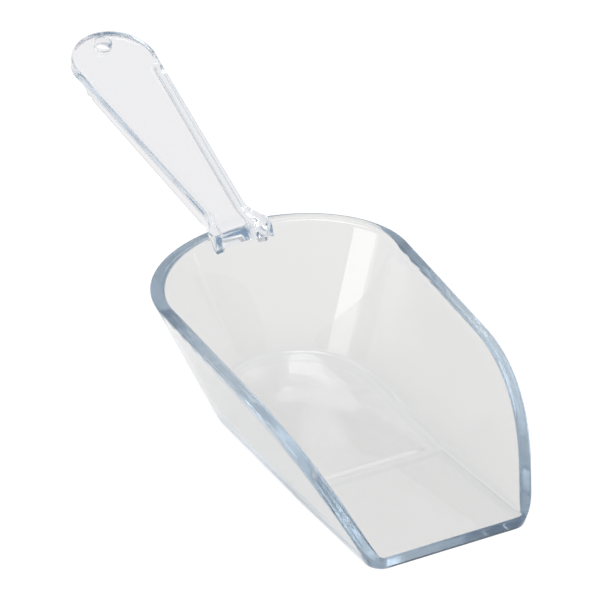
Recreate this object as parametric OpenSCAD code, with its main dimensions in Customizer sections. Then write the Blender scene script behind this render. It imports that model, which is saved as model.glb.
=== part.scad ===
// Small clear scoop for ice: a flat-bottomed bowl, open at the front, and a
// flat handle with two rails beneath it, bonded into the bowl's back wall.
//
// +X runs towards the lip and +Z is up. The origin is on the underside, half
// way between the handle's tip and the lip. XZ is the plane of symmetry.

/* [Overall] */
// Length from the handle's tip to the lip
overall_l = 207; // [206:1:208]
// Length of the bowl, from the back of its rim to the lip
bowl_l = 122.6; // [118:0.2:127]

/* [Bowl walls] */
// Thickness of the walls and the floor
wall_t = 3.7; // [3:0.1:4.2]
// Width of the underside at the lip
lip_w = 50.4; // [46:0.2:54]
// How much each side of the underside closes in, towards the back
floor_taper = 1.16; // [0:0.02:2]
// Outward lean of the side walls at the back, from upright
side_lean_back = 23.0; // [20:0.1:25]
// Outward lean of the side walls at the lip, from upright
side_lean_lip = 23.75; // [20:0.1:25]
// Outward lean of the back wall, from upright
back_lean = 19.6; // [16:0.1:22]
// Length of the rounded back of the underside
floor_round_l = 22.8; // [20:0.2:25]
// Length of the rounded back of the rim
rim_round_l = 28.5; // [26:0.2:31]
// Radius of the two corners of the lip, seen from above
lip_corner_r = 5; // [3:0.25:6]

/* [Rim line, seen from the side] */
// Height of the rim at the very back
rim_back_h = 44.4; // [42:0.2:47]
// Fall of the straight part of the rim, towards the lip
rim_fall = 6.8; // [5:0.1:8]
// Slope of the last straight part of the rim, down to the lip
mouth_slope = 52.5; // [50:0.5:55]
// Radius of the bend between the two straight parts
knee_r = 56; // [40:1:60]
// Height at which the last straight part would meet the lip
mouth_end_h = 1.4; // [0.6:0.1:2.4]

/* [Dished floor] */
// Height of the dish's upper edge above the floor, at the very back
dish_h = 4.3; // [3:0.1:5]
// Distance from the lip to the fold where the dish ends
fold_from_lip = 44.5; // [40:0.5:50]
// Distance from the lip to the back of the flat part of the floor
flat_from_lip = 88; // [76:0.5:92]

/* [Handle] */
// Upward tilt of the handle
handle_tilt = 15.4; // [12:0.1:18]
// Thickness of the handle's plate
plate_t = 3.5; // [3:0.1:4]
// Width of the handle where it meets the bowl, before the flare
neck_w = 11.8; // [10:0.2:14]
// Radius of the round tip
tip_r = 13; // [12:0.1:14]
// Depth of the rails at the neck, with the plate
rail_neck_h = 6.6; // [6:0.1:7.5]
// Depth of the rails at their tip end, with the plate
rail_tip_h = 5.3; // [4.6:0.1:6]
// Thickness of each rail
rail_t = 1.6; // [1.4:0.1:2.2]
// Distance from the tip to the end of the rails
rail_stop = 19; // [16:0.5:24]
// Radius of the flare on each side of the neck
flare_r = 9; // [7:0.5:10]
// Width of the flared neck at the bowl
flare_w = 21; // [19.5:0.5:22]
// Width of the channel between the rails at the bowl
channel_w = 11; // [9:0.5:12]
// Diameter of the hole for hanging
hole_d = 5; // [4:0.1:6]
// Distance from the tip to the middle of the hole
hole_inset = 5.4; // [5:0.1:8]

/* [Joint between handle and bowl] */
// Width of the handle's tongue, which fills a notch in the rim
tongue_w = 19; // [16:0.5:20]
// Height of the handle's top above the back of the rim
tongue_rise = 1.1; // [0.8:0.1:1.5]

/* [Hidden] */
$fn = 96;

clear_pc = [0.86, 0.89, 0.93, 0.55];
clear_pc_handle = [0.80, 0.85, 0.92, 0.75];

// Numbers of steps round the back, along a side, round a corner of the lip,
// down the dish and round the bend of the rim
back_n = 24;
side_n = 4;
corner_n = 6;
dish_n = 5;
bend_n = 12;

// Reach of the shapes that cut others
cut = 80;

// How far the dish's solid reaches below its flat edge, and its fold end hides
sunk = 1.5;
hidden = 0.02;

// How far the dish reaches into the walls, and past the outside beneath them
dish_lap = 1;
under_lap = wall_t / cos(back_lean) + 1.5;

// How far the handle's solids reach into the bowl before they are cut
within = 8;

lip_x = overall_l / 2;
tip_x = -overall_l / 2;
rim_back_x = lip_x - bowl_l;
top_h = rim_back_h + 0.6;

// Middle of the rounded back, at the underside and at the top
floor_back_x = rim_back_x + rim_back_h * tan(back_lean);
floor_round_x = floor_back_x + floor_round_l;
top_round_x = floor_back_x - top_h * tan(back_lean) + rim_round_l;

// Sideways thickness of a leaning wall
wall_side = wall_t / cos(side_lean_back);

// Lengthways places on the floor: the fold, and the backs of the flat and of the dish
fold_x = lip_x - fold_from_lip;
flat_x = lip_x - flat_from_lip;
dish_back_x = floor_back_x + wall_side - (wall_t + dish_h) * tan(back_lean);
dish_bend = 0.4;

function mix(a, b, k) = a + (b - a) * k;

// Outward lean of the sides at x, and their half width at height z
function side_lean(x) = mix(side_lean_back, side_lean_lip, (x - top_round_x) / (lip_x - top_round_x));
function half_w(x, z) = lip_w / 2 - (lip_x - x) * tan(floor_taper) + z * tan(side_lean(x));

fold_half_w = half_w(fold_x, wall_t) - wall_side;

// Rounded back of the outside at height z: its middle and its length
function round_x(z) = mix(floor_round_x, top_round_x, z / top_h);
function round_l(z) = round_x(z) - (floor_back_x - z * tan(back_lean));

// A point of the rounded back, from the right side (a = 0) to the left (180)
function back_point(a, z, inset) =
    let (x = round_x(z) - round_l(z) * sin(a))
    let (n = [-sin(a) / round_l(z), cos(a) / half_w(x, z)])
    [x, half_w(x, z) * cos(a)] - inset * n / norm(n);

// A point of a side wall, from the rounded back (k = 0) to the fold (k = 1)
function side_point(k, side, z, inset) =
    let (x = mix(round_x(z), fold_x, k))
    [x, side * (half_w(x, z) - inset)];

// The part of an outline that the dish follows, from the fold on the right
// side, round the back, to the fold on the left side
function rear_outline(z, inset) = concat(
    [for (i = [0 : side_n - 1]) side_point(1 - i / side_n, 1, z, inset)],
    [for (i = [0 : back_n]) back_point(180 * i / back_n, z, inset)],
    [for (i = [1 : side_n]) side_point(i / side_n, -1, z, inset)]
);

// Whole outline of the bowl at height z, moved in by inset
function outline(z, inset, front_x, corner_r) =
    let (w = half_w(front_x - corner_r, z) - inset - corner_r)
    let (middle_x = front_x - corner_r)
    concat(
        rear_outline(z, inset),
        [for (i = [0 : corner_n])
            let (a = -90 + 90 * i / corner_n)
            [middle_x + corner_r * cos(a), -w + corner_r * sin(a)]],
        [for (i = [0 : corner_n])
            let (a = 90 * i / corner_n)
            [middle_x + corner_r * cos(a), w + corner_r * sin(a)]]
    );

function middle(points) = [for (p = points) 1] * points / len(points);

// Closed solid through a stack of rings that have equally many points. The
// first and the last ring are flat, and close with triangles round their middle.
module loft(rings) {
    n = len(rings[0]);
    last = len(rings) - 1;
    count = n * len(rings);
    sides = [for (j = [0 : last - 1], i = [0 : n - 1], half = [0, 1])
        let (a = j * n + i, b = j * n + (i + 1) % n)
        half == 0 ? [a, a + n, b + n] : [a, b + n, b]];
    bottom = [for (i = [0 : n - 1]) [count, i, (i + 1) % n]];
    top = [for (i = [0 : n - 1]) [count + 1, last * n + (i + 1) % n, last * n + i]];
    polyhedron(
        points = concat([for (ring = rings) each ring], [middle(rings[0]), middle(rings[last])]),
        faces = concat(sides, bottom, top)
    );
}

function at_height(points, z) = [for (p = points) [p.x, p.y, z]];

// Outside of the bowl as one solid block above a flat underside
module bowl_block() {
    loft([
        at_height(outline(0, 0, lip_x, lip_corner_r), 0),
        at_height(outline(top_h, 0, lip_x, lip_corner_r), top_h)
    ]);
}

// Inside of the bowl above a flat floor, open at the lip and at the top
module hollow() {
    loft([
        at_height(outline(wall_t, wall_side, lip_x + 10, 1), wall_t),
        at_height(outline(top_h + 1, wall_side, lip_x + 10, 1), top_h + 1)
    ]);
}

// Height of the dish's upper edge above the floor, at x
function dish_edge(x) = dish_h * (fold_x - x) / (fold_x - dish_back_x);

// The dish's slope: hollow over its lower part, then straight
function dish_slope(k) = (k < dish_bend ? k * k / (2 * dish_bend) : k - dish_bend / 2) / (1 - dish_bend / 2);

// A point on the edge of the flat part of the floor, level with p
function flat_point(p) =
    let (u = (fold_x - p.x) / (fold_x - dish_back_x))
    [fold_x - u * (fold_x - flat_x), sign(p.y) * (fold_half_w - 0.5) * pow(max(0, 1 - u * u), 0.8)];

// Cross-section of the dish at p, a point on the inside of the wall: up the
// slope from the flat floor to the wall, on to a point beyond, and back below
function dish_section(p, beyond) =
    let (f = flat_point(p))
    let (k_end = norm(beyond - f) / norm(p - f))
    concat(
        [[f.x, f.y, -sunk]],
        [for (j = [0 : dish_n])
            let (k = j / dish_n)
            [mix(f.x, p.x, k), mix(f.y, p.y, k), dish_edge(p.x) * dish_slope(k) - hidden]],
        [[beyond.x, beyond.y, dish_edge(p.x) * dish_slope(k_end) - hidden], [beyond.x, beyond.y, -sunk]]
    );

// The dish's slopes as a solid on z = 0, reaching past the inside of the walls
module dish(reach) {
    inside = rear_outline(wall_t + dish_h, wall_side);
    beyond = rear_outline(wall_t + dish_h, wall_side - reach);
    loft([for (i = [0 : len(inside) - 1]) dish_section(inside[i], beyond[i])]);
}

// Where the two straight parts of the rim line would meet
knee_x = (lip_x * tan(mouth_slope) + mouth_end_h - rim_back_h - rim_back_x * tan(rim_fall))
    / (tan(mouth_slope) - tan(rim_fall));
knee_z = rim_back_h - (knee_x - rim_back_x) * tan(rim_fall);
knee_reach = knee_r * tan((mouth_slope - rim_fall) / 2);

// Everything above the rim line, down to the floor at the lip
module above_rim() {
    bend_start = [knee_x - knee_reach * cos(rim_fall), knee_z + knee_reach * sin(rim_fall)];
    bend_middle = bend_start - knee_r * [sin(rim_fall), cos(rim_fall)];
    bend = [for (i = [0 : bend_n])
        let (a = 90 - mix(rim_fall, mouth_slope, i / bend_n))
        bend_middle + knee_r * [cos(a), sin(a)]];
    behind = rim_back_x - 10;
    floor_top_x = knee_x + (knee_z - wall_t) / tan(mouth_slope);
    points = concat(
        [[behind, rim_back_h + (rim_back_x - behind) * tan(rim_fall)]],
        bend,
        [[floor_top_x, wall_t], [lip_x + 10, wall_t], [lip_x + 10, cut], [behind, cut]]
    );
    rotate([90, 0, 0])
        linear_extrude(height = 2 * cut, center = true)
            polygon(points);
}

// Puts a shape into the handle's own frame: its top face is z = 0, x = 0 is
// above the back of the rim, and the tip lies towards -x
module on_handle() {
    translate([rim_back_x, 0, rim_back_h + tongue_rise])
        rotate([0, handle_tilt, 0])
            children();
}

// Length of the handle's top face. The tip's lower edge reaches furthest back.
handle_l = (rim_back_x - tip_x - plate_t * sin(handle_tilt)) / cos(handle_tilt);
tip_middle = handle_l - tip_r;
side_angle = asin(tip_r / norm([tip_middle, neck_w / 2])) - atan(neck_w / 2 / tip_middle);

// Half width of the handle at a distance s from the bowl
function handle_half_w(s) = neck_w / 2 + s * tan(side_angle);

// The tapered sides, between two distances from the bowl, moved in by inset
module taper(s0, s1, inset) {
    w0 = handle_half_w(s0) - inset;
    w1 = handle_half_w(s1) - inset;
    polygon([[-s0, -w0], [-s0, w0], [-s1, w1], [-s1, -w1]]);
}

// The tapered sides, from inside the bowl out to a distance s1, with a neck
// that flares out to width w at the bowl
module flared(s1, inset, w) {
    flare_s = 5.5;
    flare_x = -flare_s + flare_r * sin(side_angle);
    flare_y = handle_half_w(flare_s) - inset + flare_r * cos(side_angle);
    taper(-within, s1, inset);
    difference() {
        translate([-flare_s, -w / 2])
            square([flare_s + within, w]);
        for (side = [-1, 1])
            translate([flare_x, side * flare_y])
                circle(r = flare_r);
    }
}

// Outline of the handle's plate
module plate_outline() {
    flared(tip_middle - tip_r * sin(side_angle), 0, flare_w);
    translate([-tip_middle, 0])
        circle(r = tip_r);
}

// A flat slab of the given outline, from the top face down to depth
module slab(depth) {
    translate([0, 0, -depth])
        linear_extrude(height = depth)
            children();
}

// Everything that is cut from the slab to leave a plate with two rails
module beneath_plate() {
    rail_end = handle_l - rail_stop;
    // The channel between the rails
    translate([0, 0, -plate_t])
        slab(rail_neck_h)
            flared(rail_end + 1, rail_t, channel_w);
    // The tip, which the rails stop short of
    translate([-rail_end - cut, -cut / 2, -plate_t - cut])
        cube(cut);
    // The rails grow shallower towards the tip
    translate([0, 0, -rail_neck_h])
        rotate([0, atan((rail_neck_h - rail_tip_h) / rail_end), 0])
            translate([-cut * 2, -cut, -cut])
                cube([cut * 2, cut * 2, cut]);
}

// The whole handle before it is fitted to the bowl
module handle_blank() {
    on_handle()
        difference() {
            slab(rail_neck_h)
                plate_outline();
            beneath_plate();
            translate([-(handle_l - hole_inset), 0, -plate_t - 1])
                cylinder(d = hole_d, h = plate_t + 2);
        }
}

// The notch in the rim that the tongue fills
module notch() {
    on_handle()
        translate([-6, -tongue_w / 2, -plate_t])
            cube([20, tongue_w, plate_t + 12]);
}

module bowl() {
    color(clear_pc)
        difference() {
            union() {
                difference() {
                    bowl_block();
                    hollow();
                }
                translate([0, 0, wall_t])
                    dish(dish_lap);
            }
            // The underside follows the dish, so that the floor is evenly thick
            dish(under_lap);
            above_rim();
            notch();
        }
}

module handle() {
    color(clear_pc_handle) {
        difference() {
            handle_blank();
            bowl_block();
        }
        intersection() {
            handle_blank();
            notch();
            difference() {
                bowl_block();
                hollow();
            }
        }
    }
}

bowl();
handle();
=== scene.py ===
"""Looks of the small clear scoop: a moulded bowl, and a handle with two rails bonded into its back."""

from math import asin, atan, cos, degrees, pi, radians, sin, sqrt, tan

import bpy
import bmesh
from mathutils import Matrix, Vector


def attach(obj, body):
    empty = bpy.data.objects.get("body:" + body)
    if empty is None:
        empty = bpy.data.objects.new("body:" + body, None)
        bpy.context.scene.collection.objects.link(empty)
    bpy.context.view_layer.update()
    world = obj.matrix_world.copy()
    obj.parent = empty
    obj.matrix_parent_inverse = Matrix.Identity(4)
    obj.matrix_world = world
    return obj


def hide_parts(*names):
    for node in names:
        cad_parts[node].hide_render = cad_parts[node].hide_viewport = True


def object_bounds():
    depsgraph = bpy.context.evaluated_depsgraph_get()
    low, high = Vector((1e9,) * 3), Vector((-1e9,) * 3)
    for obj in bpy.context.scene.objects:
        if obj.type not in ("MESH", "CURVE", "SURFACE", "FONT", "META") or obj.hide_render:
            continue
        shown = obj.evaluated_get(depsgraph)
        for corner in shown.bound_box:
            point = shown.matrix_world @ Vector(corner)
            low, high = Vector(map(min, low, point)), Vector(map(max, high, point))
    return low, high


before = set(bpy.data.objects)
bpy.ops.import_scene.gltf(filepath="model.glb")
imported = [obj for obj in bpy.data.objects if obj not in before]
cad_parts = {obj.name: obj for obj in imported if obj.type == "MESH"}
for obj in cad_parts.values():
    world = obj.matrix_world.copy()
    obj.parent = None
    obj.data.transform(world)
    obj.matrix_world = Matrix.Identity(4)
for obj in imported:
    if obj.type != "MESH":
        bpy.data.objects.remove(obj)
CAD_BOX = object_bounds()

MM = 0.001


# ---------------------------------------------------------------- small helpers
def tan_d(angle):
    return tan(radians(angle))


def mix(a, b, k):
    return a + (b - a) * k


def clamp(v, low, high):
    return max(low, min(high, v))


def smooth(k):
    """Eased step from 0 to 1 as k goes from 0 to 1."""
    k = clamp(k, 0.0, 1.0)
    return k * k * (3 - 2 * k)


def in_plan(p):
    return Vector((p.x, p.y, 0))


def mirrored(p):
    return Vector((p.x, -p.y, p.z))


def arc(start, corner, end, count):
    """Points of a round edge from start to end, inside the sharp corner."""
    points = []
    for i in range(count + 1):
        t = i / count
        points.append(start * (1 - t) ** 2 + corner * 2 * t * (1 - t) + end * t * t)
    return points


# ---------------------------------------------------------------- the bowl's dimensions
# Lengths in millimetres and angles in degrees, as the part has them
LIP_X = round(float(CAD_BOX[1][0]) / MM, 1)
TIP_X = -LIP_X
BOWL_L = 122.6
WALL = 3.7
LIP_W = 50.4
FLOOR_TAPER = 1.16
SIDE_LEAN_BACK = 23.0
SIDE_LEAN_LIP = 23.75
BACK_LEAN = 19.6
FLOOR_ROUND_L = 22.8
RIM_ROUND_L = 28.5
LIP_CORNER_R = 5.0
RIM_BACK_H = 44.4
ABOVE_RIM = 0.6
RIM_FALL = 6.8
MOUTH_SLOPE = 52.5
KNEE_R = 56.0
MOUTH_END_H = 1.4
DISH_H = 4.3
FOLD_FROM_LIP = 44.5
PAD_FROM_LIP = 89.0

# The level at which the walls' top outline is given, and the walls' thickness measured across
TOP_H = RIM_BACK_H + ABOVE_RIM
WALL_SIDE = WALL / cos(radians(SIDE_LEAN_BACK))

RIM_BACK_X = LIP_X - BOWL_L
FOLD_X = LIP_X - FOLD_FROM_LIP
PAD_BACK_X = LIP_X - PAD_FROM_LIP
FLOOR_BACK_X = RIM_BACK_X + RIM_BACK_H * tan_d(BACK_LEAN)
FLOOR_ROUND_X = FLOOR_BACK_X + FLOOR_ROUND_L
TOP_ROUND_X = FLOOR_BACK_X - TOP_H * tan_d(BACK_LEAN) + RIM_ROUND_L
DISH_BACK_X = FLOOR_BACK_X + WALL_SIDE - (WALL + DISH_H) * tan_d(BACK_LEAN)

# The rim line's knee: where its two straight runs would cross, and the round bend between them
KNEE_X = (LIP_X * tan_d(MOUTH_SLOPE) + MOUTH_END_H - RIM_BACK_H - RIM_BACK_X * tan_d(RIM_FALL)) / (
    tan_d(MOUTH_SLOPE) - tan_d(RIM_FALL))
KNEE_Z = RIM_BACK_H - (KNEE_X - RIM_BACK_X) * tan_d(RIM_FALL)
KNEE_REACH = KNEE_R * tan_d((MOUTH_SLOPE - RIM_FALL) / 2)
BEND_START_X = KNEE_X - KNEE_REACH * cos(radians(RIM_FALL))
BEND_X = BEND_START_X - KNEE_R * sin(radians(RIM_FALL))
BEND_Z = KNEE_Z + KNEE_REACH * sin(radians(RIM_FALL)) - KNEE_R * cos(radians(RIM_FALL))
BEND_END_X = BEND_X + KNEE_R * sin(radians(MOUTH_SLOPE))

# Rounded edges and small features that only the looks have
SIDE_END_X = LIP_X - 2.1
RIM_OUT_R = 1.3
RIM_IN_R = 1.2
RIM_ROUND_SHARE = 0.3
LIP_EDGE_R = 0.6
CORNER_LIFT = 0.4
FLOOR_FILLET_REACH = 1.056
UNDER_R = 0.8
INNER_CORNER_R = 1.6
PAD_STEP = 0.35
FOLD_BACK_X = FOLD_X - 1.3
FOLD_FRONT_X = FOLD_X + 1.4

# The pad's outline in plan, and the strip along the walls in front of the fold
PAD_HALF_W = 19.3
PAD_LENGTH_POWER = 1.3
PAD_WIDTH_POWER = 0.55
STRIP_FOLD_W = 4.8
STRIP_LIP_W = 3.6
STRIP_FADE_L = 10

# The first share of the slope's width, over which it bends up from the pad
SLOPE_BEND = 0.4

# How many steps the bowl's mesh has along each stretch
BACK_N = 56
SIDE_N = 48
BEND_N = 40
MOUTH_N = 20
WALL_N = 14
FILLET_N = 6
CORNER_N = WALL_N + FILLET_N
SLOPE_N = 14
FLOOR_N = 16
ROUND_N = 5
RIM_FLAT_N = 3
OUTSIDE_N = 8

# Rounds of the searches that settle on a point
RIM_ROUNDS = 40
FOOT_ROUNDS = 6
UNDER_ROUNDS = 8
WALL_ROUNDS = 40
LINE_ROUNDS = 8
ROOT_ROUNDS = 4


# ---------------------------------------------------------------- the bowl's surfaces
def rim_z(x):
    """Height of the rim line at x."""
    if x <= BEND_START_X:
        return RIM_BACK_H - (x - RIM_BACK_X) * tan_d(RIM_FALL)
    if x < BEND_END_X:
        return BEND_Z + sqrt(KNEE_R ** 2 - (x - BEND_X) ** 2)
    return KNEE_Z - (x - KNEE_X) * tan_d(MOUTH_SLOPE)


def side_share(x_rim):
    """How far along a side a place at the rim lies, from the rounded back (0) to the lip (1)."""
    return (x_rim - TOP_ROUND_X) / (LIP_X - TOP_ROUND_X)


def half_w(x, z):
    """Half width of the outside at x, at height z."""
    lean = mix(SIDE_LEAN_BACK, SIDE_LEAN_LIP, side_share(x))
    return LIP_W / 2 - (LIP_X - x) * tan_d(FLOOR_TAPER) + z * tan_d(lean)


def round_x(z):
    """Where the rounded back ends and the sides begin, at height z."""
    return mix(FLOOR_ROUND_X, TOP_ROUND_X, z / TOP_H)


def round_l(z):
    """Length of the rounded back at height z."""
    return round_x(z) - (FLOOR_BACK_X - z * tan_d(BACK_LEAN))


def side_stations():
    """Stations from the middle of the back to the mouth's corner, on one side.

    A station is ("back", angle) on the rounded back, or ("side", x at the rim).
    """
    stations = [("back", 90.0 * (1 - i / BACK_N)) for i in range(BACK_N)]
    stops = (TOP_ROUND_X, BEND_START_X, BEND_END_X, SIDE_END_X)
    for start, end, count in zip(stops, stops[1:], (SIDE_N, BEND_N, MOUTH_N)):
        stations += [("side", mix(start, end, i / count)) for i in range(count)]
    stations.append(("side", SIDE_END_X))
    return stations


def wall_point(station, z, inset):
    """A point of the right wall at height z, moved in by inset."""
    kind, value = station
    if kind == "back":
        a = radians(value)
        x = round_x(z) - round_l(z) * sin(a)
        n = Vector((-sin(a) / round_l(z), cos(a) / half_w(x, z), 0)).normalized()
        return Vector((x, half_w(x, z) * cos(a), z)) - inset * n
    x = mix(round_x(z), LIP_X, side_share(value))
    return Vector((x, half_w(x, z) - inset, z))


def lip_half(z):
    """Half width of the lip's straight part at height z."""
    return half_w(LIP_X - LIP_CORNER_R, z) - LIP_CORNER_R


def corner_share(x):
    """How far round the lip's corner the outside is at x, from the side (0) to the front (1)."""
    return asin((x - LIP_X + LIP_CORNER_R) / LIP_CORNER_R) / (pi / 2)


def corner_point(share, z):
    """A point of the outside round the right corner of the lip."""
    a = pi / 2 * share
    return Vector((LIP_X - LIP_CORNER_R + LIP_CORNER_R * sin(a), lip_half(z) + LIP_CORNER_R * cos(a), z))


def outside_point(station, z):
    """A point of the outside, which rounds the lip's corners in plan."""
    p = wall_point(station, z, 0)
    if p.x <= LIP_X - LIP_CORNER_R:
        return p
    return corner_point(corner_share(p.x), z)


def at_rim(point_at):
    """The point of a wall's surface that lies on the rim line."""
    z = RIM_BACK_H
    for _ in range(RIM_ROUNDS):
        p = point_at(z)
        z = mix(z, rim_z(p.x), 0.7)
    return point_at(z)


def inner_rim(station):
    return at_rim(lambda z: wall_point(station, z, WALL_SIDE))


def dish_share(x):
    """How far back x lies in the dish, from the fold (0) to the back of its upper edge (1)."""
    return clamp((FOLD_X - x) / (FOLD_X - DISH_BACK_X), 0, 1)


def dish_edge(x):
    """Height of the dish's upper edge above the pad, at x."""
    return DISH_H * dish_share(x)


def pad_z(x):
    """Height of the floor: the pad at the back steps down to the front at the fold."""
    return WALL + PAD_STEP * (1 - smooth((x - FOLD_BACK_X) / (FOLD_FRONT_X - FOLD_BACK_X)))


def slope_rise(k):
    """Rise of the dish's slope from the pad (k = 0) to the wall (k = 1)."""
    low = k * k / (2 * SLOPE_BEND) if k < SLOPE_BEND else k - SLOPE_BEND / 2
    return low / (1 - SLOPE_BEND / 2)


def pad_edge(foot):
    """The edge of the pad that belongs to a foot of the wall, at no height.

    The slope bends up gently, so the line that shows is where its straight part would meet the pad.
    That line follows the pad's outline, and the edge itself lies a little further in.
    """
    if foot.x >= FOLD_X:
        strip = mix(STRIP_FOLD_W, STRIP_LIP_W, smooth((foot.x - FOLD_X) / STRIP_FADE_L))
        return Vector((foot.x, foot.y - strip, 0))
    u = dish_share(foot.x)
    line_x = mix(FOLD_X, PAD_BACK_X, u)
    line_y = PAD_HALF_W * max(0.0, 1 - u ** PAD_LENGTH_POWER) ** PAD_WIDTH_POWER
    k = SLOPE_BEND / 2
    return Vector(((line_x - k * foot.x) / (1 - k), max(0.0, (line_y - k * foot.y) / (1 - k)), 0))


def wall_foot(station):
    """Where the inside of the wall would meet the slope or the floor, sharply."""
    foot = wall_point(station, WALL + DISH_H, WALL_SIDE)
    for _ in range(FOOT_ROUNDS):
        foot = wall_point(station, pad_z(foot.x) + dish_edge(foot.x), WALL_SIDE)
    return foot


def inner_section(station):
    """Half of a cross-curve of the inside, from the rim's inner edge to the middle of the floor."""
    rim = inner_rim(station)
    foot = wall_foot(station)
    pad = pad_edge(foot)
    up = (rim - foot).normalized()
    reach = min(FLOOR_FILLET_REACH, 0.35 * (rim - foot).length)
    wall_top = rim - up * min(RIM_IN_R, 0.45 * (rim.z - foot.z))
    wall_low = foot + up * reach
    k_fillet = 1 - reach / (in_plan(foot) - pad).length

    def slope_point(k):
        x = mix(pad.x, foot.x, k)
        return Vector((x, mix(pad.y, foot.y, k), pad_z(x) + dish_edge(foot.x) * slope_rise(k)))

    points = [wall_top.lerp(wall_low, i / WALL_N) for i in range(WALL_N)]
    points += arc(wall_low, foot, slope_point(k_fillet), FILLET_N)[:-1]
    points += [slope_point(k_fillet * (1 - i / SLOPE_N)) for i in range(SLOPE_N)]
    points += [Vector((pad.x, pad.y * (1 - i / FLOOR_N), pad_z(pad.x))) for i in range(FLOOR_N + 1)]
    return points


def floor_front(rim_end, columns):
    """Right half of the floor's front edge: round the inner corner, then straight across."""
    front_x = LIP_X - LIP_EDGE_R
    corner_y = rim_end.y - INNER_CORNER_R
    half = []
    for c in range(1, columns):
        if c <= CORNER_N:
            a = pi / 2 * c / CORNER_N
            x = mix(rim_end.x, front_x, sin(a))
            half.append(Vector((x, corner_y + INNER_CORNER_R * cos(a), mix(rim_end.z, WALL, sin(a)))))
        else:
            y = corner_y * (columns - 1 - c) / (columns - 1 - CORNER_N)
            half.append(Vector((front_x, y, WALL)))
    return half


def under_foot(station):
    """The outside's lower edge at a station, and the direction from it towards the middle."""
    foot = wall_foot(station)
    pad = pad_edge(foot)
    run = (in_plan(foot) - pad).length
    bottom = outside_point(station, 0)
    for _ in range(UNDER_ROUNDS):
        k = (in_plan(bottom) - pad).length / run
        bottom = outside_point(station, dish_edge(foot.x) * slope_rise(k))
    k_in = k - UNDER_R / run
    inward = pad.lerp(in_plan(bottom), k_in / k)
    inward.z = dish_edge(foot.x) * slope_rise(k_in)
    return bottom, (inward - bottom).normalized()


def under_section(station, start):
    """Half of a cross-curve of the underside, from just inside its rounded edge to the middle."""
    foot = wall_foot(station)
    pad = pad_edge(foot)
    edge = in_plan(start)
    k_edge = (edge - pad).length / (in_plan(foot) - pad).length
    points = []
    for i in range(1, SLOPE_N + 1):
        p = pad.lerp(edge, 1 - i / SLOPE_N)
        p.z = dish_edge(foot.x) * slope_rise(k_edge * (1 - i / SLOPE_N))
        points.append(p)
    points += [Vector((pad.x, pad.y * (1 - i / FLOOR_N), 0)) for i in range(1, FLOOR_N + 1)]
    return points


def rim_profile(start, inner_edge, outer_edge, outside, bottom, inward):
    """Points from start, at the top of the inside, over the rim, down the outside and under it.

    inner_edge and outer_edge are the rim's sharp edges, outside(z) is a point of the outside,
    bottom is its sharp lower edge, and inward is the way that the underside goes on from there.
    """
    across = outer_edge - inner_edge
    round_most = RIM_ROUND_SHARE * across.length
    across.normalize()
    in_r = min(RIM_IN_R, round_most, 1.2 * (start - inner_edge).length)
    out_r = min(RIM_OUT_R, round_most, 0.45 * (outer_edge.z - UNDER_R))
    down = (outside(outer_edge.z - out_r) - outer_edge).normalized()
    flat_start = inner_edge + across * in_r
    flat_end = outer_edge - across * out_r
    low = outside(bottom.z + 0.9 * UNDER_R)
    points = arc(start, inner_edge, flat_start, ROUND_N)[1:]
    points += [flat_start.lerp(flat_end, i / RIM_FLAT_N) for i in range(1, RIM_FLAT_N)]
    points += arc(flat_end, outer_edge, outer_edge + down * out_r, ROUND_N)
    top_z = points[-1].z
    points += [outside(mix(top_z, low.z, i / OUTSIDE_N)) for i in range(1, OUTSIDE_N + 1)]
    points += arc(low, bottom, bottom + inward * UNDER_R, ROUND_N)[1:]
    return points


def side_profile(station, start):
    """The rim's profile at a station of the back or the side."""
    def outside(z):
        return outside_point(station, z)

    bottom, inward = under_foot(station)
    return rim_profile(start, inner_rim(station), at_rim(outside), outside, bottom, inward)


def front_profile(start, c, first_share, rim_end):
    """The profile round the lip, at start, the point in column c of the floor's front edge."""
    share = mix(first_share, 1, min(1, c / CORNER_N))
    y_share = start.y / (rim_end.y - INNER_CORNER_R)

    def outside(z):
        if c <= CORNER_N:
            return corner_point(share, z)
        return Vector((LIP_X, lip_half(z) * y_share, z))

    t = smooth(c / CORNER_N)
    inner_edge = start + Vector((LIP_EDGE_R * t, 0, (1 - t) * CORNER_LIFT * (rim_end.z - WALL)))
    bottom = outside(0)
    if bottom.y <= lip_half(0):
        inward = Vector((-1, 0, 0))
    else:
        inward = (Vector((LIP_X - LIP_CORNER_R, lip_half(0), 0)) - bottom).normalized()
    return rim_profile(start, inner_edge, outside(rim_z(bottom.x)), outside, bottom, inward)


# ---------------------------------------------------------------- building closed meshes
# Points closer than this, in millimetres, are joined
WELD = 0.00001

# Edges sharper than this many degrees keep a crease
CREASE = 28


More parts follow.
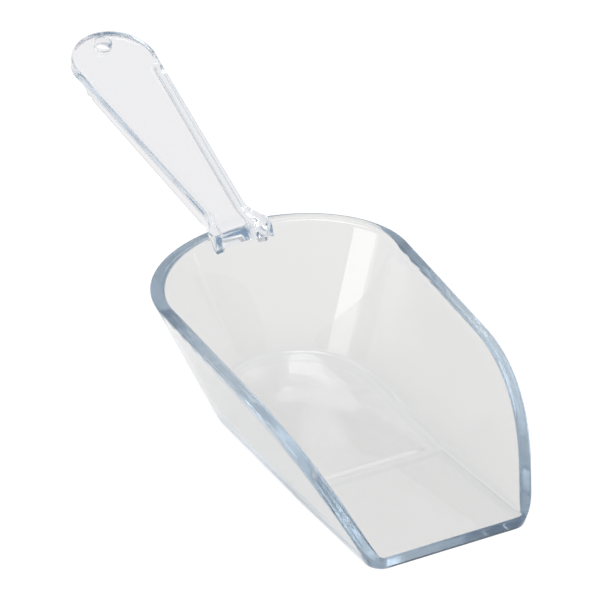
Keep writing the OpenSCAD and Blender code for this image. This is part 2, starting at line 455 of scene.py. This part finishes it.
class Builder:
    """Collects the vertices and faces of one closed mesh."""

    def __init__(self):
        self.points = []
        self.faces = []

    def row(self, points):
        """Adds a row of points, and returns their numbers."""
        start = len(self.points)
        self.points += points
        return list(range(start, start + len(points)))

    def band(self, a, b, closed=False):
        """Adds the faces between two rows."""
        count = len(a)
        for i in range(count if closed else count - 1):
            j = (i + 1) % count
            face = [a[i], a[j], b[j], b[i]]
            if len(set(face)) > 2:
                self.faces.append(face)

    def bands(self, rows, closed=False):
        """Adds the faces between each row and the next."""
        for a, b in zip(rows, rows[1:]):
            self.band(a, b, closed)

    def make(self, name):
        """Makes the object, with its seams welded and its faces turned outwards."""
        mesh = bpy.data.meshes.new(name)
        mesh.from_pydata([p * MM for p in self.points], [], self.faces)
        mesh.validate()
        bm = bmesh.new()
        bm.from_mesh(mesh)
        bmesh.ops.remove_doubles(bm, verts=bm.verts, dist=WELD * MM)
        bmesh.ops.holes_fill(bm, edges=bm.edges, sides=4)
        bmesh.ops.recalc_face_normals(bm, faces=bm.faces)
        if bm.calc_volume(signed=True) < 0:
            bmesh.ops.reverse_faces(bm, faces=bm.faces)
        bm.to_mesh(mesh)
        bm.free()
        mesh.shade_smooth()
        piece = bpy.data.objects.new(name, mesh)
        bpy.context.scene.collection.objects.link(piece)
        return piece


def cut_away(piece, cutters):
    """Cuts closed blocks from a piece, and removes the blocks."""
    for cutter in cutters:
        modifier = piece.modifiers.new("cut", "BOOLEAN")
        modifier.operation = "DIFFERENCE"
        modifier.solver = "EXACT"
        modifier.object = cutter
    graph = bpy.context.evaluated_depsgraph_get()
    mesh = bpy.data.meshes.new_from_object(piece.evaluated_get(graph))
    piece.modifiers.clear()
    piece.data = mesh
    for cutter in cutters:
        bpy.data.objects.remove(cutter)
    mesh.shade_smooth()
    mesh.set_sharp_from_angle(angle=radians(CREASE))


# ---------------------------------------------------------------- the bowl's mesh
def both_sides(half):
    """A row from its right half, which ends in the middle."""
    return half + [mirrored(p) for p in reversed(half[:-1])]


def bowl_mesh():
    build = Builder()
    stations = side_stations()
    last = len(stations) - 1
    halves = [inner_section(station) for station in stations]
    rim_end = halves[last][0]

    # The inside: cross-curves from the back to the mouth, then the floor's front edge
    rows = [build.row(both_sides(half)) for half in halves]
    front_half = floor_front(rim_end, len(halves[0]))
    front = build.row(both_sides(front_half))
    build.bands(rows)
    build.band(rows[last], [rows[last][0]] + front + [rows[last][-1]])

    # The rim and the outside: rings round the right side, the front and the left side
    first_share = corner_share(at_rim(lambda z: outside_point(stations[last], z)).x)
    profiles = [side_profile(station, half[0]) for station, half in zip(stations, halves)]
    profiles += [front_profile(p, c, first_share, rim_end) for c, p in enumerate(front_half, 1)]
    profiles += [[mirrored(p) for p in profile] for profile in reversed(profiles[1:-1])]
    rings = [[row[0] for row in rows] + front + [row[-1] for row in reversed(rows[1:])]]
    rings += [build.row(list(points)) for points in zip(*profiles)]
    build.bands(rings, closed=True)

    # The underside: cross-curves behind the front edge, and one flat face in front of them
    edge = rings[-1]
    under_rows = []
    for k, station in enumerate(stations):
        half = under_section(station, build.points[edge[k]])
        under_rows.append([edge[k]] + build.row(both_sides(half)) + [edge[-k]])
    build.bands(under_rows[::-1])
    build.faces.append(under_rows[last] + edge[last + 1:last + 1 + len(front)][::-1])
    return build.make("bowl_shell")


# ---------------------------------------------------------------- the handle's dimensions
# Millimetres and degrees. s runs back from the rim along the handle's top face, and z up from it
HANDLE_TILT = 15.4
TONGUE_RISE = 1.1
TONGUE_W = 19.0
PLATE_T = 3.5
NECK_W = 11.8
TIP_R = 13.0
RAIL_NECK_H = 6.6
RAIL_TIP_H = 5.3
RAIL_T = 1.6
RAIL_STOP = 19.0
FLARE_W = 21.0
HOLE_D = 5.0
HOLE_INSET = 5.4
FIT_GAP = 0.03

HANDLE_L = (RIM_BACK_X - TIP_X - PLATE_T * sin(radians(HANDLE_TILT))) / cos(radians(HANDLE_TILT))
TIP_MIDDLE = HANDLE_L - TIP_R
SIDE_ANGLE = asin(TIP_R / sqrt(TIP_MIDDLE ** 2 + (NECK_W / 2) ** 2)) - atan(NECK_W / 2 / TIP_MIDDLE)
RAIL_END = HANDLE_L - RAIL_STOP

# Rounded edges and slight leans that only the looks have
TOP_EDGE_R = 1.1
RAIL_EDGE_R = 0.6
CHANNEL_R = 1.0
CHANNEL_FLAT = 1.2
HOLE_EDGE_R = 0.45
SIDE_LEAN = 0.25
RAIL_LEAN = 0.25
LEAN_STEP = 0.05

# The root spreads and deepens towards the bowl, and its sides lean more as it does
FLARE_S = 6.5
FLARE_RATE = 0.053
FLARE_SIDE_LEAN = 0.3
FLARE_RAIL_LEAN = 0.6
ROOT_RAIL_RATE = 0.04
ROOT_RAIL_MOST = 7.0
ROOT_PLATE_S = 4.5
ROOT_PLATE_RATE = 0.08
ROOT_PLATE_MOST = 1.9

# The rails fade into the plate near the tip, and grow thinner there
RAIL_FADE_L = 3.0
THIN_FROM = 1.0
THIN_L = 6.0
THIN_SHARE = 0.35

# How many steps the handle's mesh has along each stretch
TIP_N = 40
TOP_N = 24
EDGE_N = 6
SIDE_ROWS = 5
UNDER_N = TOP_N - 2 * (EDGE_N + 1) - 1
ROOT_N = 12
CUTTER_N = 24
HOLE_N = 64
HOLE_EDGE_N = 6

# Where the mesh's steps change between the tip and the root
NEAR_RAIL_END = 1.0
NEAR_ROOT_S = 9.0
ROOT_S = 3.0
ROOT_SUNK = 1.3


# ---------------------------------------------------------------- the handle's surfaces
def handle_point(s, y, z):
    """A point s back from the rim along the handle's top face, and z above that face."""
    t = radians(HANDLE_TILT)
    return Vector((
        RIM_BACK_X - s * cos(t) + z * sin(t),
        y,
        RIM_BACK_H + TONGUE_RISE + s * sin(t) + z * cos(t)))


def wall_x(y, z, inset):
    """Where the rounded back wall stands at a given y and z."""
    low, high = 15.0, 90.0
    for _ in range(WALL_ROUNDS):
        a = (low + high) / 2
        if wall_point(("back", a), z, inset).y > abs(y):
            low = a
        else:
            high = a
    return wall_point(("back", low), z, inset).x


def wall_s(y, z, inset):
    """Distance along the handle at which a line parallel to it meets the back wall."""
    s = 0.0
    for _ in range(LINE_ROUNDS):
        p = handle_point(s, y, z)
        s += (p.x - wall_x(y, p.z, inset)) / cos(radians(HANDLE_TILT))
    return s


def tongue_s(y, z):
    """Where the tongue ends: on the inside of the wall, with a rounded upper front edge."""
    back = 0.0
    if z > -TOP_EDGE_R:
        back = TOP_EDGE_R - sqrt(max(0.0, TOP_EDGE_R ** 2 - (TOP_EDGE_R + z) ** 2))
    return wall_s(y, z, WALL_SIDE) + back


def flare(s):
    """Extra half width where the handle spreads towards the bowl."""
    grow = FLARE_RATE * max(0.0, FLARE_S - s) ** 2
    room = FLARE_W / 2 - NECK_W / 2 - s * tan(SIDE_ANGLE)
    return min(grow, max(0.0, room))


def plate_depth(s):
    """Depth of the channel's ceiling below the top face."""
    return PLATE_T + min(ROOT_PLATE_MOST, ROOT_PLATE_RATE * max(0.0, ROOT_PLATE_S - s) ** 2)


def rail_depth(s):
    """Depth of the rails' lower edge below the top face."""
    depth = mix(RAIL_NECK_H, RAIL_TIP_H, clamp(s / RAIL_END, 0, 1))
    depth += ROOT_RAIL_RATE * max(0.0, FLARE_S - s) ** 2
    fade = smooth((s - RAIL_END + RAIL_FADE_L / 2) / RAIL_FADE_L)
    return mix(min(depth, ROOT_RAIL_MOST), plate_depth(s), fade)


def outline(kind, value):
    """A point of the handle's outline in plan, the way out from it, and how far it has spread there."""
    if kind == "run":
        spread = flare(value)
        out = Vector((value, NECK_W / 2 + value * tan(SIDE_ANGLE) + spread))
        return out, Vector((-sin(SIDE_ANGLE), cos(SIDE_ANGLE))), spread
    a = radians(value)
    return Vector((TIP_MIDDLE + TIP_R * sin(a), TIP_R * cos(a))), Vector((sin(a), cos(a))), 0.0


def handle_section(kind, value, solid=False):
    """Half of a section, from the middle of the top face to the middle of the underside.

    Points are (s, y, z). A section is ("run", s) on the tapered part or ("tip", angle) round the tip.
    A solid section has no channel.
    """
    out, normal, spread = outline(kind, value)
    depth = rail_depth(out.x)
    under = depth - 0.01 if solid else plate_depth(out.x)
    ledge = depth - under
    rail_t = RAIL_T * mix(1.0, THIN_SHARE, smooth((out.x - RAIL_END - THIN_FROM) / THIN_L))
    lean = SIDE_LEAN + FLARE_SIDE_LEAN * spread
    inner = rail_t + SIDE_LEAN + FLARE_RAIL_LEAN * spread
    channel = inner + RAIL_LEAN
    fillet_r = CHANNEL_R
    if kind == "run":
        fillet_r = min(CHANNEL_R, out.y - inner - CHANNEL_FLAT)
    side_low = -(depth - RAIL_EDGE_R)
    rail_low = -depth + min(RAIL_EDGE_R, 0.4 * ledge)
    fillet_low = -under - min(fillet_r, 0.55 * ledge)

    def at(inset, z):
        p = out - normal * inset
        return Vector((p.x, max(p.y, 0.0), z))

    def across(inset, z, shares):
        edge = at(inset, z)
        return [Vector((edge.x, edge.y * share, z)) for share in shares]

    def rounded(start, corner, end):
        return arc(at(*start), at(*corner), at(*end), EDGE_N)

    points = across(TOP_EDGE_R, 0.0, [i / TOP_N for i in range(TOP_N)])
    points += rounded((TOP_EDGE_R, 0), (0, 0), (0, -TOP_EDGE_R))
    for i in range(1, SIDE_ROWS + 1):
        k = i / SIDE_ROWS
        points.append(at(lean * k, mix(-TOP_EDGE_R, side_low, k)))
    points += rounded((lean, side_low), (lean, -depth), (lean + RAIL_EDGE_R, -depth))[1:]
    points += rounded((inner - RAIL_EDGE_R, -depth), (inner, -depth), (inner + LEAN_STEP, rail_low))
    points.append(at(mix(inner + LEAN_STEP, channel, 0.5), mix(rail_low, fillet_low, 0.5)))
    points += rounded((channel, fillet_low), (channel + LEAN_STEP, -under), (channel + fillet_r, -under))
    points += across(channel + fillet_r, -under, [1 - i / UNDER_N for i in range(1, UNDER_N + 1)])
    return points


# ---------------------------------------------------------------- the handle's mesh
def root_line(i):
    """Where point i of the sections sinks into the wall, and where it ends on the wall's inside."""
    s_out = 0.0
    s_in = -4.0
    for _ in range(ROOT_ROUNDS):
        p = handle_section("run", s_out)[i]
        s_out += wall_s(p.y, p.z, 0) - p.x
        p = handle_section("run", s_in, True)[i]
        s_in += tongue_s(p.y, p.z) - p.x
    return s_out - ROOT_SUNK, s_in


def handle_sections():
    """Half sections from the tip to the tongue's end. The root's lines run on into the wall."""
    sections = []
    for i in range(TIP_N):
        sections.append(handle_section("tip", mix(90, -degrees(SIDE_ANGLE), i / TIP_N)))
    tip_s = TIP_MIDDLE - TIP_R * sin(SIDE_ANGLE)
    stops = (tip_s, RAIL_END + NEAR_RAIL_END, RAIL_END - NEAR_RAIL_END, NEAR_ROOT_S, ROOT_S)
    for start, end, count in zip(stops, stops[1:], (4, 12, 40, 14)):
        sections += [handle_section("run", mix(start, end, i / count)) for i in range(count)]
    ends = [root_line(i) for i in range(len(sections[0]))]

    def line_points(solid, start_of, end_of, k):
        return [handle_section("run", mix(start_of(e), end_of(e), k), solid)[i] for i, e in enumerate(ends)]

    for k in range(ROOT_N + 1):
        sections.append(line_points(False, lambda e: ROOT_S, lambda e: e[0], k / ROOT_N))
    # The channel closes inside the wall
    for k in (0.3, 0.6, 0.8, 1.0):
        sections.append(line_points(True, lambda e: e[0], lambda e: e[1], k))
    return sections


def close_tongue(build, section, ring):
    """Closes the tongue's end with rows from side to side, on the inside of the bowl's wall."""
    size = len(ring)
    first = TOP_N
    last = TOP_N + 2 * EDGE_N + SIDE_ROWS
    columns = 2 * TOP_N
    rows = [[ring[i] for i in range(first, -first - 1, -1)]]
    for i in range(first + 1, last):
        p = section[i]
        points = []
        for j in range(1, columns):
            y = p.y * (1 - 2 * j / columns)
            points.append(handle_point(tongue_s(y, p.z), y, p.z))
        rows.append([ring[i]] + build.row(points) + [ring[-i]])
    rows.append(ring[last:size - last + 1])
    build.bands(rows)


def handle_blank():
    """The handle with its tongue, before the bowl's wall and the hole are cut from it."""
    build = Builder()
    sections = handle_sections()
    rings = []
    for section in sections:
        right = [handle_point(*p) for p in section]
        rings.append(build.row(right + [mirrored(p) for p in reversed(right[1:-1])]))
    build.bands(rings, closed=True)
    close_tongue(build, sections[-1], rings[-1])
    return build.make("handle_body")


def grid_block(name, columns, rows, front, back):
    """Closed block whose faces follow front(column, row) and back(column, row)."""
    build = Builder()
    front_rows = [build.row([front(c, r) for c in columns]) for r in rows]
    back_rows = [build.row([back(c, r) for c in columns]) for r in rows]
    build.bands(front_rows)
    build.bands(back_rows[::-1])
    build.band(back_rows[0], front_rows[0])
    build.band(front_rows[-1], back_rows[-1])
    build.band([r[0] for r in front_rows], [r[0] for r in back_rows])
    build.band([r[-1] for r in back_rows], [r[-1] for r in front_rows])
    return build.make(name)


def wall_cutter(name, y_low, y_high, z_top):
    """The bowl's back wall beside or below the notch, as a block to cut from the handle."""
    z_low = -14.0
    s_inside = -16.0
    steps = [i / CUTTER_N for i in range(CUTTER_N + 1)]
    return grid_block(
        name, [mix(y_low, y_high, k) for k in steps], [mix(z_top, z_low, k) for k in steps],
        lambda y, z: handle_point(wall_s(y, z, -FIT_GAP), y, z),
        lambda y, z: handle_point(s_inside, y, z))


def notch_cutter():
    """The notch in the bowl's rim that takes the tongue, with a hair's gap round it."""
    half = TONGUE_W / 2 + FIT_GAP
    low = -PLATE_T - FIT_GAP
    above = 6.0
    s_outside = 5.0
    s_inside = -14.0
    return grid_block(
        "notch_cutter", [-half, half], [low, above],
        lambda y, z: handle_point(s_outside, y, z),
        lambda y, z: handle_point(s_inside, y, z))


def hole_cutter():
    """A pin with flared ends, which leaves a hole with rounded edges."""
    build = Builder()
    s = HANDLE_L - HOLE_INSET
    radius = HOLE_D / 2
    above = 0.8
    profile = [(above, radius + HOLE_EDGE_R)]
    for i in range(HOLE_EDGE_N + 1):
        a = pi / 2 * i / HOLE_EDGE_N
        profile.append((-HOLE_EDGE_R * (1 - cos(a)), radius + HOLE_EDGE_R * (1 - sin(a))))
    profile += [(-PLATE_T - z, r) for z, r in reversed(profile)]
    turns = [2 * pi * i / HOLE_N for i in range(HOLE_N)]
    rings = []
    for z, r in profile:
        rings.append(build.row([handle_point(s + r * cos(a), r * sin(a), z) for a in turns]))
    build.bands(rings, closed=True)
    build.faces.append(rings[0])
    build.faces.append(rings[-1][::-1])
    return build.make("hole_cutter")


def handle_mesh():
    piece = handle_blank()
    half = TONGUE_W / 2
    beside = 18.0
    below = 18.5
    above = 4.0
    cut_away(piece, [
        wall_cutter("cutter_right", half, beside, above),
        wall_cutter("cutter_left", -beside, -half, above),
        wall_cutter("cutter_low", -below, below, -PLATE_T),
        hole_cutter()])
    return piece


# ---------------------------------------------------------------- materials
POLYCARBONATE_IOR = 1.585

# Waves per metre in the hairline scuffs, the specks of wear and the ripple left by the moulding
HAIRLINE_WAVES = 900
SPECK_WAVES = 1400
FLOW_WAVES = 45
BUMP_STRENGTH = 0.25
BUMP_DEPTH = 0.03

# How far wear reaches in from the lip and from the handle's tip
LIP_WEAR_L = 25
TIP_WEAR_L = 20


def add_noise(tree, place, scale, stretch, detail):
    """Noise over the object's own coordinates, in waves per metre along each axis."""
    mapping = tree.nodes.new("ShaderNodeMapping")
    mapping.inputs["Scale"].default_value = [scale * k for k in stretch]
    noise = tree.nodes.new("ShaderNodeTexNoise")
    noise.inputs["Scale"].default_value = 1.0
    noise.inputs["Detail"].default_value = detail
    tree.links.new(place, mapping.inputs["Vector"])
    tree.links.new(mapping.outputs[0], noise.inputs["Vector"])
    return noise.outputs["Fac"]


def add_range(tree, value, low, high, to_low, to_high):
    """The value, carried over from one range to another."""
    node = tree.nodes.new("ShaderNodeMapRange")
    node.inputs["From Min"].default_value = low
    node.inputs["From Max"].default_value = high
    node.inputs["To Min"].default_value = to_low
    node.inputs["To Max"].default_value = to_high
    tree.links.new(value, node.inputs["Value"])
    return node.outputs["Result"]


def add_math(tree, operation, a, b):
    node = tree.nodes.new("ShaderNodeMath")
    node.operation = operation
    tree.links.new(a, node.inputs[0])
    tree.links.new(b, node.inputs[1])
    return node.outputs[0]


def clear_plastic(name, base, roughness, density, tint, wear_from, wear_to):
    """Clear polycarbonate, tinted in its thickness.

    It has hairline scuffs along X, and gets duller from wear_from to wear_to.
    """
    material = bpy.data.materials.new(name)
    material.use_nodes = True
    tree = material.node_tree
    shader = tree.nodes["Principled BSDF"]
    shader.inputs["Base Color"].default_value = (*base, 1)
    shader.inputs["Transmission Weight"].default_value = 1.0
    shader.inputs["IOR"].default_value = POLYCARBONATE_IOR
    place = tree.nodes.new("ShaderNodeTexCoord").outputs["Object"]
    split = tree.nodes.new("ShaderNodeSeparateXYZ")
    tree.links.new(place, split.inputs[0])

    hairlines = add_noise(tree, place, HAIRLINE_WAVES, (0.05, 1, 1), 4)
    specks = add_noise(tree, place, SPECK_WAVES, (1, 1, 1), 2)
    flow = add_noise(tree, place, FLOW_WAVES, (0.4, 1, 1), 1)
    polish = add_range(tree, hairlines, 0.35, 0.75, 0.7 * roughness, 1.3 * roughness)
    worn = add_range(tree, split.outputs["X"], wear_from * MM, wear_to * MM, 0.0, 1.0)
    dull = add_range(tree, specks, 0.5, 0.8, 0.0, 0.12)
    rough = add_math(tree, "ADD", polish, add_math(tree, "MULTIPLY", worn, dull))
    tree.links.new(rough, shader.inputs["Roughness"])

    relief = add_math(tree, "ADD", add_range(tree, hairlines, 0, 1, 0, 0.15), flow)
    bump = tree.nodes.new("ShaderNodeBump")
    bump.inputs["Strength"].default_value = BUMP_STRENGTH
    bump.inputs["Distance"].default_value = BUMP_DEPTH * MM
    tree.links.new(relief, bump.inputs["Height"])
    tree.links.new(bump.outputs[0], shader.inputs["Normal"])

    absorb = tree.nodes.new("ShaderNodeVolumeAbsorption")
    absorb.inputs["Color"].default_value = (*tint, 1)
    absorb.inputs["Density"].default_value = density
    tree.links.new(absorb.outputs[0], tree.nodes["Material Output"].inputs["Volume"])
    return material


def plain_floor():
    """A matt white floor that glows a little, so that only a faint shadow shows on it."""
    material = bpy.data.materials.new("pale_floor")
    material.use_nodes = True
    shader = material.node_tree.nodes["Principled BSDF"]
    shader.inputs["Base Color"].default_value = (0.22, 0.22, 0.22, 1)
    shader.inputs["Roughness"].default_value = 0.9
    shader.inputs["Specular IOR Level"].default_value = 0.0
    shader.inputs["Emission Color"].default_value = (1, 1, 1, 1)
    shader.inputs["Emission Strength"].default_value = 0.84
    return material


# ---------------------------------------------------------------- the two pieces
def add_bowl():
    bowl = bowl_mesh()
    bowl.data.materials.append(clear_plastic(
        "bowl_plastic", base=(0.752, 0.747, 0.739), roughness=0.05, density=10.0,
        tint=(0.42, 0.58, 0.71), wear_from=LIP_X - LIP_WEAR_L, wear_to=LIP_X))
    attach(bowl, "root")
    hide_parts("bowl")
    cut_away(bowl, [notch_cutter()])


def add_handle():
    handle = handle_mesh()
    handle.data.materials.append(clear_plastic(
        "handle_plastic", base=(0.775, 0.765, 0.775), roughness=0.03, density=18.0,
        tint=(0.50, 0.66, 0.79), wear_from=TIP_X + TIP_WEAR_L, wear_to=TIP_X))
    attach(handle, "root")
    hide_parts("handle")


# ---------------------------------------------------------------- stage, lights and camera
# Metres here, apart from the camera's place
FLOOR_HALF = 3.0
FLOOR_Z = -0.0001
ZENITH_FROM = 0.7
AIM = Vector((0.03, 0, 0.02))
MAX_BOUNCES = 80
CLEAR_BOUNCES = 32

# The camera looks at a point near the middle of the scoop: millimetres and degrees
CAMERA_AZ = -30.012
CAMERA_EL = 29.554
CAMERA_ROLL = 0.138
CAMERA_TARGET = Vector((18.792, 0.032, 37.086))
CAMERA_DISTANCE = 1696.23
LENS = 360.1


def direction(azimuth, elevation):
    az = radians(azimuth)
    el = radians(elevation)
    return Vector((cos(el) * cos(az), cos(el) * sin(az), sin(el)))


def add_floor():
    mesh = bpy.data.meshes.new("floor")
    corners = [(x * FLOOR_HALF, y * FLOOR_HALF, FLOOR_Z) for x, y in ((-1, -1), (1, -1), (1, 1), (-1, 1))]
    mesh.from_pydata(corners, [], [(0, 1, 2, 3)])
    floor = bpy.data.objects.new("floor", mesh)
    bpy.context.scene.collection.objects.link(floor)
    floor.data.materials.append(plain_floor())


def add_world(horizon, zenith):
    """A soft white studio, dimmer at the horizon than overhead."""
    world = bpy.data.worlds.new("studio")
    world.use_nodes = True
    tree = world.node_tree
    place = tree.nodes.new("ShaderNodeTexCoord")
    split = tree.nodes.new("ShaderNodeSeparateXYZ")
    tree.links.new(place.outputs["Generated"], split.inputs[0])
    fade = add_range(tree, split.outputs["Z"], 0.0, ZENITH_FROM, horizon, zenith)
    tree.links.new(fade, tree.nodes["Background"].inputs["Strength"])
    tree.nodes["Background"].inputs["Color"].default_value = (1, 1, 1, 1)
    bpy.context.scene.world = world


def softbox(name, azimuth, elevation, distance, width, height, radiance):
    """A rectangular soft light that faces the scoop, of a given brightness."""
    data = bpy.data.lights.new(name, "AREA")
    data.shape = "RECTANGLE"
    data.size = width
    data.size_y = height
    data.energy = radiance * pi * width * height
    light = bpy.data.objects.new(name, data)
    away = direction(azimuth, elevation)
    light.location = away * distance + AIM
    light.rotation_mode = "QUATERNION"
    light.rotation_quaternion = away.to_track_quat("Z", "Y")
    bpy.context.scene.collection.objects.link(light)


def add_camera():
    back = direction(CAMERA_AZ, CAMERA_EL)
    right = Vector((-sin(radians(CAMERA_AZ)), cos(radians(CAMERA_AZ)), 0))
    up = back.cross(right)
    roll = radians(CAMERA_ROLL)
    rolled_right = cos(roll) * right + sin(roll) * up
    rolled_up = -sin(roll) * right + cos(roll) * up
    data = bpy.data.cameras.new("camera")
    data.sensor_width = 36.0
    data.lens = LENS
    data.clip_start = 0.05
    data.clip_end = 20.0
    camera = bpy.data.objects.new("camera", data)
    matrix = Matrix((rolled_right, rolled_up, back)).transposed().to_4x4()
    matrix.translation = (CAMERA_TARGET + back * CAMERA_DISTANCE) * MM
    camera.matrix_world = matrix
    bpy.context.scene.collection.objects.link(camera)
    bpy.context.scene.camera = camera


def set_look():
    """Many bounces, because light runs far inside clear edges before it comes out."""
    scene = bpy.context.scene
    scene.view_settings.view_transform = "Standard"
    scene.cycles.max_bounces = MAX_BOUNCES
    scene.cycles.transmission_bounces = MAX_BOUNCES
    scene.cycles.glossy_bounces = MAX_BOUNCES
    scene.cycles.transparent_max_bounces = CLEAR_BOUNCES


add_bowl()
add_handle()
add_floor()
add_world(horizon=0.72, zenith=1.12)
# Each softbox has a name, azimuth, elevation, distance, width, height and radiance
softbox("overhead", 0, 88, 1.4, 0.7, 0.7, 3.0)
softbox("behind_high", 141, 46, 1.5, 0.2, 0.16, 1.3)
softbox("window", -75, 20, 1.5, 0.85, 1.0, 1.7)
softbox("strip", 62, 4, 1.5, 0.05, 0.6, 0.9)
add_camera()
set_look()
